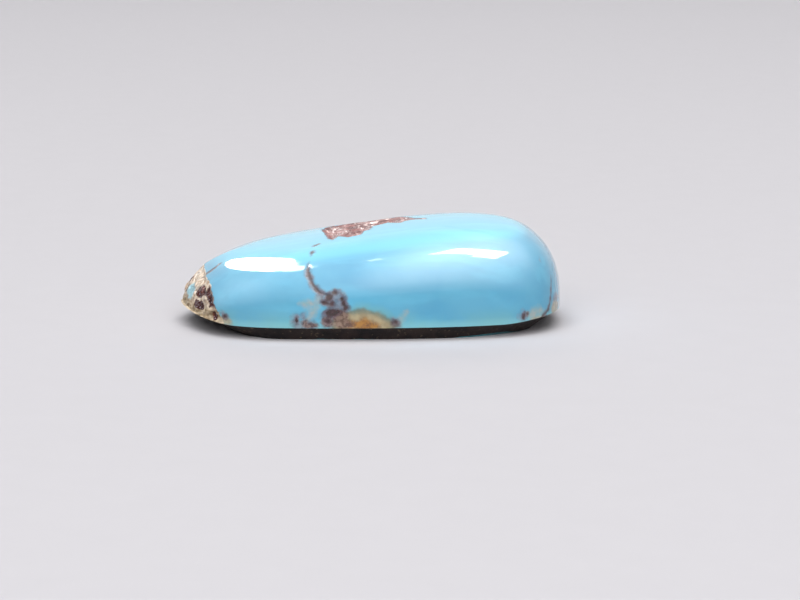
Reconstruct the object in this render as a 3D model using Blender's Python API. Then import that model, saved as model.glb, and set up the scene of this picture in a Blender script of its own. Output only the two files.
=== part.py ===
"""Turquoise cabochon: one polished stone with a flat back, a bevelled edge and a low domed crown.

The stone lies on its back on the plane z = 0. X runs along its length, Y across it and Z up.
A sphere of rings and segments gives the closed mesh, and every ring is moved to its place on
the stone: the crown, the shoulder and wall, the bevel under the girdle, and the flat back.
"""

import bmesh
import bpy
import numpy as np

MM = 0.001

# Plan of the girdle, the widest line of the stone, which lies just above the back
HALF_LENGTH = 13.94 * MM
HALF_WIDTH = 8.95 * MM
LEFT_SQUARENESS = 4.2
RIGHT_SQUARENESS = 3.9
RIGHT_TAPER = 0.115
LEFT_POINT = 0.28
RIGHT_POINT = 0.084
POINT_ROUNDING = 1.0 * MM

# Height of the girdle above the back, and how far the bevel runs in under it
GIRDLE_HEIGHT = 0.94 * MM
LEFT_GIRDLE_LIFT = 0.45 * MM
RIGHT_GIRDLE_LIFT = 0.37 * MM
BEVEL_RUN = 0.80 * MM
LEFT_BEVEL_EXTRA = 1.90 * MM
RIGHT_BEVEL_EXTRA = 1.10 * MM

# Height of the crown's middle line at stations along X
CROWN_STATIONS = (
    (-14.0 * MM, 4.78 * MM),
    (-7.0 * MM, 5.74 * MM),
    (0.0 * MM, 6.83 * MM),
    (6.0 * MM, 7.42 * MM),
    (14.0 * MM, 6.30 * MM),
)
CROWN_FALL = 7.5 / (1000.0 * MM)

# Shoulder: a quarter of a superellipse from the upright wall to the crown
SIDE_REACH, LEFT_REACH, RIGHT_REACH = 5.0 * MM, 5.76 * MM, 4.3 * MM
SIDE_WALL, LEFT_WALL, RIGHT_WALL = 4.5, 2.15, 2.9
SIDE_ROLL, LEFT_ROLL, RIGHT_ROLL = 2.5, 2.2, 2.5
END_BLEND_START = 0.48
END_LIFT_START = 0.68

# Brown matrix on the crown: a fan that widens towards the far shoulder, sunk a little below the
# polish, with a rippled floor
FAN_MIDDLE = -1.6 * MM
FAN_LEAN = 0.30
FAN_HALF_WIDTH = 1.75 * MM
FAN_SPREAD = 0.36
FAN_NEAR, FAN_FAR = -3.2 * MM, 6.2 * MM
FAN_SQUARENESS = 3.0
FAN_DEPTH = 0.13 * MM
FAN_RIM = 0.32
RIPPLE_DEPTH = 0.04 * MM
RIPPLE_PITCH = (2.4 * MM, 1.5 * MM)

# Natural skin of the left end: shallow dents in the dark matrix
SKIN_START = -11.2 * MM
SKIN_FULL = -12.6 * MM
SKIN_DEPTH = 0.16 * MM
SKIN_PITCH = (1.9 * MM, 1.5 * MM)

# Mesh density
SEGMENTS = 112
CROWN_RINGS = 18
SHOULDER_RINGS = 18
BEVEL_RINGS = 3
OUTLINE_SAMPLES = 4000


def smooth_step(value, start, end):
    """Ease from 0 at start to 1 at end."""
    t = np.clip((value - start) / (end - start), 0.0, 1.0)
    return t * t * (3.0 - 2.0 * t)


def plan_outline():
    """Fine points of the girdle's plan: a squarish oval, tapered to +X and blunt-pointed at both ends."""
    angle = np.linspace(-np.pi, np.pi, OUTLINE_SAMPLES, endpoint=False)
    along, across = np.cos(angle), np.sin(angle)
    rightness = 0.5 + 0.5 * np.tanh(4.0 * along)
    power = 2.0 / (LEFT_SQUARENESS + (RIGHT_SQUARENESS - LEFT_SQUARENESS) * rightness)
    x = HALF_LENGTH * np.sign(along) * np.abs(along) ** power
    y = HALF_WIDTH * np.sign(across) * np.abs(across) ** power
    y = y * (1.0 - RIGHT_TAPER * smooth_step(x / HALF_LENGTH, -0.1, 1.0))
    point = np.where(x < 0.0, LEFT_POINT, RIGHT_POINT) * smooth_step(np.abs(x) / HALF_LENGTH, 0.2, 1.0)
    x = x - np.sign(x) * point * (np.hypot(y, POINT_ROUNDING) - POINT_ROUNDING)
    return x, y


def even_outline(count):
    """The plan outline as count points at even steps along it."""
    x, y = plan_outline()
    x_closed, y_closed = np.append(x, x[0]), np.append(y, y[0])
    run = np.concatenate(([0.0], np.cumsum(np.hypot(np.diff(x_closed), np.diff(y_closed)))))
    stations = np.linspace(0.0, run[-1], count, endpoint=False)
    return np.interp(stations, run, x_closed), np.interp(stations, run, y_closed)


def tangent_distance(x, y):
    """Distance from the middle of the stone to the outline's tangent at each point."""
    step_x = np.roll(x, -1) - np.roll(x, 1)
    step_y = np.roll(y, -1) - np.roll(y, 1)
    return np.abs(x * step_y - y * step_x) / np.hypot(step_x, step_y)


def blend_to_ends(x, side, left, right):
    """A value that is side along the flanks, left at the -X end and right at the +X end."""
    to_left = smooth_step(-x / HALF_LENGTH, END_BLEND_START, 1.0)
    to_right = smooth_step(x / HALF_LENGTH, END_BLEND_START, 1.0)
    return side + (left - side) * to_left + (right - side) * to_right


def girdle_height(x):
    """Height of the girdle, which rises towards both ends."""
    lift_left = LEFT_GIRDLE_LIFT * smooth_step(-x / HALF_LENGTH, END_LIFT_START, 1.0)
    lift_right = RIGHT_GIRDLE_LIFT * smooth_step(x / HALF_LENGTH, END_LIFT_START, 1.0)
    return GIRDLE_HEIGHT + lift_left + lift_right


def crown_height(x, y):
    """Height of the dome before the shoulder: a curve along X that falls gently to both sides."""
    stations, heights = np.transpose(CROWN_STATIONS)
    curve = np.polyfit(stations / HALF_LENGTH, heights, len(stations) - 1)
    return np.polyval(curve, x / HALF_LENGTH) - CROWN_FALL * y * y


def fan_cut(x, y):
    """How far the matrix fan on the crown lies under the polished surface."""
    middle = FAN_MIDDLE + FAN_LEAN * y
    half_width = FAN_HALF_WIDTH + FAN_SPREAD * np.maximum(y, FAN_NEAR)
    across = np.abs(x - middle) / half_width
    along = np.abs(2.0 * y - FAN_NEAR - FAN_FAR) / (FAN_FAR - FAN_NEAR)
    inside = 1.0 - (across ** FAN_SQUARENESS + along ** FAN_SQUARENESS) ** (1.0 / FAN_SQUARENESS)
    ripple = np.sin(2.0 * np.pi * y / RIPPLE_PITCH[1] + np.sin(2.0 * np.pi * x / RIPPLE_PITCH[0]))
    return smooth_step(inside, 0.0, FAN_RIM) * (FAN_DEPTH + RIPPLE_DEPTH * ripple)


def skin_dent(x, y, z):
    """How far the natural skin of the left end is dented towards the middle of the stone."""
    waves = np.sin(2.0 * np.pi * y / SKIN_PITCH[0] + 1.0) * np.sin(2.0 * np.pi * z / SKIN_PITCH[1] + 0.4)
    return SKIN_DEPTH * smooth_step(-x, -SKIN_START, -SKIN_FULL) * (0.5 + 0.5 * waves)


def upper_ring(x_edge, y_edge, tangent, inset, rise):
    """Points of one ring above the girdle, at its distance in from the outline and its share of the height."""
    keep = 1.0 - inset / tangent
    x, y = x_edge * keep, y_edge * keep
    foot = girdle_height(x_edge)
    z = foot + (crown_height(x, y) - foot) * rise
    z = z - fan_cut(x, y) * rise
    x = x + skin_dent(x, y, z) * smooth_step(z, foot, foot + 0.6 * MM)
    return np.stack((x, y, z), axis=1)


def stone_rings():
    """All rings from the one around the apex down to the rim of the back, each SEGMENTS points long."""
    x_edge, y_edge = even_outline(SEGMENTS)
    tangent = tangent_distance(x_edge, y_edge)
    reach = blend_to_ends(x_edge, SIDE_REACH, LEFT_REACH, RIGHT_REACH)
    wall = blend_to_ends(x_edge, SIDE_WALL, LEFT_WALL, RIGHT_WALL)
    roll = blend_to_ends(x_edge, SIDE_ROLL, LEFT_ROLL, RIGHT_ROLL)
    rings = []
    for step in range(1, CROWN_RINGS + 1):
        inset = tangent + (reach - tangent) * step / CROWN_RINGS
        rings.append(upper_ring(x_edge, y_edge, tangent, inset, np.ones(SEGMENTS)))
    for step in range(1, SHOULDER_RINGS + 1):
        angle = 0.5 * np.pi * (1.0 - step / SHOULDER_RINGS) ** 2
        inset = reach * (1.0 - np.cos(angle) ** (2.0 / roll))
        rings.append(upper_ring(x_edge, y_edge, tangent, inset, np.sin(angle) ** (2.0 / wall)))
    bevel_run = BEVEL_RUN + blend_to_ends(x_edge, 0.0, LEFT_BEVEL_EXTRA, RIGHT_BEVEL_EXTRA)
    for step in range(1, BEVEL_RINGS + 1):
        share = step / BEVEL_RINGS
        keep = 1.0 - share * bevel_run / tangent
        height = girdle_height(x_edge) * (1.0 - share ** 1.15)
        rings.append(np.stack((x_edge * keep, y_edge * keep, height), axis=1))
    return np.array(rings)


def add_material(name, colour, roughness):
    """A Principled material with one plain colour."""
    material = bpy.data.materials.new(name)
    material.use_nodes = True
    surface = material.node_tree.nodes["Principled BSDF"]
    surface.inputs["Base Color"].default_value = (*colour, 1.0)
    surface.inputs["Roughness"].default_value = roughness
    surface.inputs["Metallic"].default_value = 0.0
    return material


def add_stone(collection):
    """The stone as one closed mesh: a sphere whose rings and poles are moved onto the stone."""
    rings = stone_rings()
    bands = len(rings) + 1
    mesh_data = bmesh.new()
    bmesh.ops.create_uvsphere(mesh_data, u_segments=SEGMENTS, v_segments=bands, radius=1.0)
    for vertex in mesh_data.verts:
        ring = round(np.arccos(np.clip(vertex.co.z, -1.0, 1.0)) / np.pi * bands)
        turn = np.arctan2(vertex.co.y, vertex.co.x) / (2.0 * np.pi)
        segment = round((turn + 0.5) * SEGMENTS) % SEGMENTS
        if ring == 0:
            vertex.co = (0.0, 0.0, float(crown_height(0.0, 0.0) - fan_cut(0.0, 0.0)))
        elif ring == bands:
            vertex.co = (0.0, 0.0, 0.0)
        else:
            vertex.co = rings[ring - 1, segment]
    bmesh.ops.recalc_face_normals(mesh_data, faces=mesh_data.faces)
    mesh = bpy.data.meshes.new("turquoise")
    mesh_data.to_mesh(mesh)
    mesh_data.free()
    mesh.shade_smooth()
    mesh.set_sharp_from_angle(angle=np.radians(30.0))
    mesh.materials.append(add_material("turquoise", (0.16, 0.50, 0.68), 0.08))
    stone = bpy.data.objects.new("turquoise", mesh)
    collection.objects.link(stone)
    return stone


def main():
    """Clear the scene and build the stone in its own collection."""
    for existing in list(bpy.data.objects):
        bpy.data.objects.remove(existing, do_unlink=True)
    collection = bpy.data.collections.new("turquoise_cabochon")
    bpy.context.scene.collection.children.link(collection)
    add_stone(collection)


if __name__ == "__main__":
    main()
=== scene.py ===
"""A polished turquoise cabochon with brown and cream matrix, lying on its back in a small studio.

The stone is one surface on a grid of rings and segments, worked out in millimetres: a low crown, a
rounded shoulder, an upright wall, a bevel under the girdle and a flat back. Its matrix is a set of
seams and nodules that have places in the stone. Every vertex keeps its distance to each kind of
matrix as a mesh attribute, and the finish turns those distances into ragged natural edges.
"""

import logging
from dataclasses import dataclass
from enum import Enum

import bpy
import numpy as np
from mathutils import Matrix as Matrix4
from mathutils import Vector
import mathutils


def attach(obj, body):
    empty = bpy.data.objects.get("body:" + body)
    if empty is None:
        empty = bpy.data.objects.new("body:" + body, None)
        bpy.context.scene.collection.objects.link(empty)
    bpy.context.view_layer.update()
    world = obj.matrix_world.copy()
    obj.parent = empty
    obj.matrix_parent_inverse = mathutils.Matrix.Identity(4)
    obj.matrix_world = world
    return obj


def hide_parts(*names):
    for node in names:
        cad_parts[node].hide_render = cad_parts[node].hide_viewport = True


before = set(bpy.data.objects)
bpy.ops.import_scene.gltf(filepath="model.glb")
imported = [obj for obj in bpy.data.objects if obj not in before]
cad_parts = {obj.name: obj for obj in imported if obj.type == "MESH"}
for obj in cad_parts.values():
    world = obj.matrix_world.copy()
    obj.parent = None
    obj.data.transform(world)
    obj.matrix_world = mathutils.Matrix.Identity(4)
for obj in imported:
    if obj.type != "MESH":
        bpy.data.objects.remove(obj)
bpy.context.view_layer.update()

MM = 0.001
STONE_NODE = "turquoise"
LOG = logging.getLogger("cabochon")

Colour = tuple[float, float, float]
Point = tuple[float, float, float]


def smooth_step(value: np.ndarray, start: float | np.ndarray, end: float | np.ndarray) -> np.ndarray:
    """Ease from 0 at start to 1 at end: 3 t squared less 2 t cubed.

    Args:
        value: where to read the curve.
        start: the value that gives 0.
        end: the value that gives 1.

    Returns:
        The eased share, in value's shape.
    """
    t = np.clip((value - start) / (end - start), 0.0, 1.0)
    return t * t * (3.0 - 2.0 * t)


def lattice_value(cell: np.ndarray, seed: int) -> np.ndarray:
    """A fixed number from -1 to 1 for each whole-numbered cell, by mixing its coordinates' bits.

    Args:
        cell: whole-numbered cells, shape (n, 3).
        seed: picks one of many such fields.

    Returns:
        One value for each cell, shape (n,).
    """
    mixed = cell[:, 0] * 73856093 ^ cell[:, 1] * 19349663 ^ cell[:, 2] * 83492791 ^ seed * 50331653
    mixed = (mixed ^ (mixed >> 13)) & 0xFFFFFFFF
    mixed = (mixed * 1274126177) & 0xFFFFFFFF
    mixed = mixed ^ (mixed >> 16)
    return (mixed & 0xFFFF) / 32767.5 - 1.0


def solid_noise(points: np.ndarray, size: float, octaves: int = 1, seed: int = 0) -> np.ndarray:
    """Smooth noise in space: lattice values eased between cell corners, halved in size each octave.

    Args:
        points: places in millimetres, shape (n, 3).
        size: width of the largest cells, in millimetres.
        octaves: how many halvings are added, each at half the strength.
        seed: picks one of many such fields.

    Returns:
        About -1 to 1 for each point, shape (n,).
    """
    total = np.zeros(len(points))
    strength, reach = 1.0, 0.0
    for octave in range(octaves):
        scaled = points / (size / 2.0 ** octave)
        cell = np.floor(scaled).astype(np.int64)
        share = scaled - cell
        share = share * share * (3.0 - 2.0 * share)
        layer = np.zeros(len(points))
        for corner in np.ndindex(2, 2, 2):
            weight = np.prod(np.where(np.array(corner) == 1, share, 1.0 - share), axis=1)
            layer += weight * lattice_value(cell + np.array(corner), seed + octave)
        total += strength * layer
        reach += strength
        strength *= 0.5
    return total / reach


@dataclass(frozen=True)
class Ends:
    """One measure of the stone: along its flanks, at its low left end and at its high right end."""

    side: float
    left: float
    right: float


@dataclass(frozen=True)
class StoneForm:
    """The cut form without its relief, in millimetres, with the same driving sizes as the solid."""

    half_length: float = 13.94
    half_width: float = 8.95
    squareness: Ends = Ends(4.05, 4.2, 3.9)
    taper: float = 0.115
    point: Ends = Ends(0.0, 0.28, 0.084)
    point_rounding: float = 1.0
    girdle: Ends = Ends(0.94, 1.39, 1.31)
    girdle_lift_start: float = 0.68
    bevel: Ends = Ends(0.80, 2.70, 1.90)
    crown_stations: tuple[tuple[float, float], ...] = (
        (-14.0, 4.78), (-7.0, 5.74), (0.0, 6.83), (6.0, 7.42), (14.0, 6.30),
    )
    crown_fall: float = 0.0075
    reach: Ends = Ends(5.0, 5.76, 4.3)
    wall: Ends = Ends(4.5, 2.15, 2.9)
    roll: Ends = Ends(2.5, 2.2, 2.5)
    end_blend_start: float = 0.48
    segments: int = 600
    crown_rings: int = 64
    shoulder_rings: int = 84
    bevel_rings: int = 8

    @property
    def girdle_ring(self) -> int:
        """Index of the ring on the girdle, counted from the apex outward."""
        return self.crown_rings + self.shoulder_rings - 1

    @property
    def ring_count(self) -> int:
        """How many rings lie between the apex and the middle of the back."""
        return self.crown_rings + self.shoulder_rings + self.bevel_rings

    def along(self, x: np.ndarray, measure: Ends, start: float) -> np.ndarray:
        """A measure that eases from its side value to its end values towards both ends.

        Args:
            x: places along the stone.
            measure: the three values.
            start: the share of the half length where the easing begins.

        Returns:
            The measure at each x.
        """
        to_left = smooth_step(-x / self.half_length, start, 1.0)
        to_right = smooth_step(x / self.half_length, start, 1.0)
        return measure.side + (measure.left - measure.side) * to_left + (measure.right - measure.side) * to_right

    def outline(self) -> tuple[np.ndarray, np.ndarray]:
        """The girdle's plan: a superellipse, narrowed to the right and drawn to a blunt point at each end.

        A superellipse point at angle a is half size times the signed power 2 / squareness of cos a and
        sin a. Its width is then eased down to the right, and its ends are set back in step with their
        distance from the middle line. The points are spread evenly along the curve.

        Returns:
            x and y, each of shape (segments,).
        """
        angle = np.linspace(-np.pi, np.pi, 8 * self.segments, endpoint=False)
        lengthwise, crosswise = np.cos(angle), np.sin(angle)
        rightness = 0.5 + 0.5 * np.tanh(4.0 * lengthwise)
        power = 2.0 / (self.squareness.left + (self.squareness.right - self.squareness.left) * rightness)
        x = self.half_length * np.sign(lengthwise) * np.abs(lengthwise) ** power
        y = self.half_width * np.sign(crosswise) * np.abs(crosswise) ** power
        y = y * (1.0 - self.taper * smooth_step(x / self.half_length, -0.1, 1.0))
        point = np.where(x < 0.0, self.point.left, self.point.right) * smooth_step(np.abs(x) / self.half_length, 0.2, 1.0)
        x = x - np.sign(x) * point * (np.hypot(y, self.point_rounding) - self.point_rounding)
        x, y = np.append(x, x[0]), np.append(y, y[0])
        run = np.concatenate(([0.0], np.cumsum(np.hypot(np.diff(x), np.diff(y)))))
        stations = np.linspace(0.0, run[-1], self.segments, endpoint=False)
        return np.interp(stations, run, x), np.interp(stations, run, y)

    def crown_height(self, x: np.ndarray, y: np.ndarray) -> np.ndarray:
        """The dome: a polynomial through the crown's stations along X, less a parabola across Y."""
        stations, heights = np.transpose(self.crown_stations)
        curve = np.polyfit(stations, heights, len(stations) - 1)
        return np.polyval(curve, x) - self.crown_fall * y * y

    def points(self) -> np.ndarray:
        """All vertices: the apex, ring after ring out to the girdle and in under it, and the back's middle.

        A ring above the girdle is the outline drawn in by an inset. Its height is the girdle's height
        plus a share of the way up to the dome. On the shoulder, inset / reach is 1 less cos a to the
        power 2 / roll and the share is sin a to the power 2 / wall, a quarter of a superellipse. On
        the crown the share is 1. The bevel runs straight in and down from the girdle to the back.

        Returns:
            Places in millimetres, shape (2 + ring_count * segments, 3).
        """
        x_edge, y_edge = self.outline()
        step_x, step_y = np.roll(x_edge, -1) - np.roll(x_edge, 1), np.roll(y_edge, -1) - np.roll(y_edge, 1)
        tangent = np.abs(x_edge * step_y - y_edge * step_x) / np.hypot(step_x, step_y)
        girdle = self.along(x_edge, self.girdle, self.girdle_lift_start)
        reach = self.along(x_edge, self.reach, self.end_blend_start)
        wall = self.along(x_edge, self.wall, self.end_blend_start)
        roll = self.along(x_edge, self.roll, self.end_blend_start)
        bevel = self.along(x_edge, self.bevel, self.end_blend_start)

        inward = np.arange(1, self.crown_rings + 1)[:, None] / self.crown_rings
        crown_inset = tangent + (reach - tangent) * inward
        angle = 0.5 * np.pi * (1.0 - np.arange(1, self.shoulder_rings + 1)[:, None] / self.shoulder_rings) ** 2
        shoulder_inset = reach * (1.0 - np.cos(angle) ** (2.0 / roll))
        inset = np.concatenate((crown_inset, shoulder_inset))
        rise = np.concatenate((np.ones_like(crown_inset), np.sin(angle) ** (2.0 / wall)))
        keep = 1.0 - inset / tangent
        x, y = x_edge * keep, y_edge * keep
        upper = np.stack((x, y, girdle + (self.crown_height(x, y) - girdle) * rise), axis=-1)

        under = np.arange(1, self.bevel_rings + 1)[:, None] / self.bevel_rings
        keep = 1.0 - under * bevel / tangent
        lower = np.stack((x_edge * keep, y_edge * keep, girdle * (1.0 - under ** 1.15)), axis=-1)

        apex = [(0.0, 0.0, float(self.crown_height(np.zeros(1), np.zeros(1))[0]))]
        rings = np.concatenate((upper, lower)).reshape(-1, 3)
        return np.concatenate((apex, rings, [(0.0, 0.0, 0.0)]))

    def faces(self) -> list[tuple[int, ...]]:
        """Faces of the grid, outward: a fan at the apex, quads between rings and a fan on the back."""
        rings, count = self.ring_count, self.segments
        index = 1 + np.arange(rings * count).reshape(rings, count)
        following = np.roll(index, -1, axis=1)
        quads = np.stack((index[:-1], index[1:], following[1:], following[:-1]), axis=-1).reshape(-1, 4)
        top = np.stack((np.zeros(count, dtype=int), index[0], following[0]), axis=-1)
        back = np.stack((np.full(count, 1 + rings * count), following[-1], index[-1]), axis=-1)
        return top.tolist() + quads.tolist() + back.tolist()

    def normals(self, points: np.ndarray) -> np.ndarray:
        """Outward unit normals: the cross product of the steps along and across the rings."""
        grid = points[1:-1].reshape(self.ring_count, self.segments, 3)
        around = np.roll(grid, -1, axis=1) - np.roll(grid, 1, axis=1)
        outward = np.gradient(grid, axis=0)
        normal = np.cross(outward, around)
        normal /= np.linalg.norm(normal, axis=-1, keepdims=True)
        return np.concatenate(([(0.0, 0.0, 1.0)], normal.reshape(-1, 3), [(0.0, 0.0, -1.0)]))


class Slot(Enum):
    """The stone's finishes, by their material slot."""

    UPPER = 0
    BACK = 1


class Filling(Enum):
    """What fills a seam or nodule. The value names the mesh attribute with the distance to it."""

    BROWN = "brown_matrix"
    RUST = "rust_matrix"
    HAZE = "lilac_haze"
    CREAM = "cream_matrix"
    CRUST = "beige_crust"
    OCHRE = "ochre_lens"
    GOLD = "gold_core"
    # Not matrix: a darker cyan band painted across the crown's front right, a painted reflection of the backdrop's
    # edge.
    DEEP = "painted_reflection_band"
    SKIN = "natural_skin"
    IRONSTONE = "ironstone"
    WINDOW = "blue_window"
    FAN = "crown_fan"


class Vertex(Enum):
    """Other facts that the mesh keeps at its vertices."""

    # How much each vertex faces up; it paints the top lighter, as if lit from above (painted top light).
    CROWN = "painted_top_light_share"


@dataclass(frozen=True)
class Seam:
    """A vein: a chain of (x, y, z, half width) stations, in millimetres."""

    filling: Filling
    stations: tuple[tuple[float, float, float, float], ...]

    def distance(self, points: np.ndarray) -> np.ndarray:
        """Distance to the nearest leg's middle line, less the half width there."""
        nearest = np.full(len(points), np.inf)
        legs = np.array(self.stations)
        for start, end in zip(legs[:-1], legs[1:]):
            leg = end[:3] - start[:3]
            share = np.clip((points - start[:3]) @ leg / (leg @ leg), 0.0, 1.0)
            gap = np.linalg.norm(points - start[:3] - share[:, None] * leg, axis=1)
            nearest = np.minimum(nearest, gap - start[3] - share * (end[3] - start[3]))
        return nearest


@dataclass(frozen=True)
class Nodule:
    """A lump of matrix: an ellipsoid with its half sizes along X, Y and Z, in millimetres."""

    filling: Filling
    centre: Point
    half_size: Point

    def distance(self, points: np.ndarray) -> np.ndarray:
        """Distance from the centre, less the ellipsoid's own reach in that direction."""
        offset = points - np.array(self.centre)
        length = np.linalg.norm(offset, axis=1) + 1e-9
        return length - length / (np.linalg.norm(offset / np.array(self.half_size), axis=1) + 1e-9)


@dataclass(frozen=True)
class Patch:
    """An area of the crown, given by the (x, y) corners of its outline in plan, in millimetres."""

    filling: Filling
    corners: tuple[tuple[float, float], ...]

    def distance(self, points: np.ndarray) -> np.ndarray:
        """Distance in plan to the nearest side of the outline, negative inside.

        A place is inside where a line from it to the right crosses an odd number of sides.
        """
        place = points[:, :2]
        nearest = np.full(len(points), np.inf)
        inside = np.zeros(len(points), dtype=bool)
        corners = np.array(self.corners)
        for start, end in zip(corners, np.roll(corners, -1, axis=0)):
            side = end - start
            share = np.clip((place - start) @ side / (side @ side), 0.0, 1.0)
            nearest = np.minimum(nearest, np.linalg.norm(place - start - share[:, None] * side, axis=1))
            spans = (start[1] > place[:, 1]) != (end[1] > place[:, 1])
            rise = side[1] if abs(side[1]) > 1e-9 else 1e-9
            inside ^= spans & (place[:, 0] < start[0] + side[0] * (place[:, 1] - start[1]) / rise)
        return np.where(inside, -nearest, nearest)


@dataclass(frozen=True)
class EndCap:
    """All of the stone's left end out to an edge, given as (height, x) stations in millimetres."""

    filling: Filling
    edge: tuple[tuple[float, float], ...]

    def distance(self, points: np.ndarray) -> np.ndarray:
        """X, less the edge's X at that height."""
        heights, edges = np.transpose(self.edge)
        return points[:, 0] - np.interp(points[:, 2], heights, edges)


@dataclass(frozen=True)
class Matrix:
    """All the foreign rock in the stone. Larger fields get an uneven edge, as (filling, amount, size, seed)."""

    deposits: tuple[Seam | Nodule | Patch | EndCap, ...]
    join: float = 0.06
    far: float = 4.0
    uneven: tuple[tuple[Filling, float, float, int], ...] = (
        (Filling.FAN, 0.26, 1.1, 7), (Filling.SKIN, 0.14, 0.7, 13), (Filling.IRONSTONE, 0.12, 0.6, 21),
        (Filling.OCHRE, 0.08, 1.2, 23),
    )

    def distances(self, points: np.ndarray) -> dict[Filling, np.ndarray]:
        """Distance to each kind of filling, where nearby deposits of a kind run together.

        Deposits join by the soft minimum: minus join times the log of the sum of exp(-distance / join).

        Args:
            points: places in millimetres, shape (n, 3).

        Returns:
            For each filling, millimetres outside (positive) or inside (negative), shape (n,).
        """
        found: dict[Filling, np.ndarray] = {}
        for filling in Filling:
            parts = [deposit.distance(points) for deposit in self.deposits if deposit.filling is filling]
            shares = [np.exp(-np.clip(part, -self.far, self.far) / self.join) for part in parts]
            found[filling] = -self.join * np.log(np.sum(shares, axis=0))
        for filling, amount, size, seed in self.uneven:
            found[filling] = found[filling] + amount * solid_noise(points, size, 4, seed)
        return {filling: np.clip(distance, -self.far, self.far) for filling, distance in found.items()}


@dataclass(frozen=True)
class Relief:
    """How far the surface lies under the cut form, in millimetres: polish waves, sunk matrix, broken skin."""

    polish_wave: float = 0.012
    polish_size: float = 4.5
    groove: float = 0.025
    fan_sink: float = 0.13
    fan_rim: float = 0.45
    fan_ripple: float = 0.06
    fan_grain: float = 0.04
    skin_dent: float = 0.16
    skin_chip: float = 0.10
    girdle_fade: float = 0.45

    def depth(self, points: np.ndarray, normals: np.ndarray, distances: dict[Filling, np.ndarray]) -> np.ndarray:
        """Depth of the surface under the cut form at each point, never negative.

        Args:
            points: the cut form's vertices, in millimetres.
            normals: its outward normals.
            distances: distance to each filling.

        Returns:
            The depth to cut along the normal, in millimetres.
        """
        x, y, z = points.T
        waves = self.polish_wave * (1.0 - solid_noise(points, self.polish_size, 2, seed=3))

        brown = np.minimum(distances[Filling.BROWN], distances[Filling.RUST])
        grooves = self.groove * smooth_step(brown, 0.06, -0.10) * (1.0 + 0.5 * solid_noise(points, 0.3, 2, seed=5))

        in_fan = smooth_step(distances[Filling.FAN], 0.05, -self.fan_rim)
        ripple = np.sin(2.0 * np.pi * y / 1.5 + np.sin(2.0 * np.pi * x / 2.4) + 1.5 * solid_noise(points, 1.6, 2, seed=9))
        grain = solid_noise(points * np.array((0.6, 1.0, 1.0)), 0.45, 3, seed=11)
        fan = in_fan * (self.fan_sink + self.fan_ripple * ripple + self.fan_grain * grain)

        in_skin = smooth_step(distances[Filling.SKIN], 0.10, -0.55)
        dents = 0.5 + 0.5 * np.sin(2.0 * np.pi * y / 1.9 + 1.0) * np.sin(2.0 * np.pi * z / 1.5 + 0.4)
        chips = 1.0 - np.abs(solid_noise(points, 0.8, 3, seed=15))
        skin = in_skin * (self.skin_dent * dents + self.skin_chip * chips)

        above = smooth_step(z, 1.0, 1.0 + self.girdle_fade) * smooth_step(normals[:, 2], -0.3, -0.05)
        return np.clip(above * (waves + grooves + fan + skin), 0.0, None)


def reflectance(code: str) -> Colour:
    """A colour as the shaders want it, from its six hexadecimal digits, by the display curve's inverse."""
    shares = np.array([int(code[start:start + 2], 16) for start in (0, 2, 4)]) / 255.0
    linear = np.where(shares <= 0.04045, shares / 12.92, ((shares + 0.055) / 1.055) ** 2.4)
    return tuple(float(share) for share in linear)


Socket = bpy.types.NodeSocket
Feed = float | Colour | Socket


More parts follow.
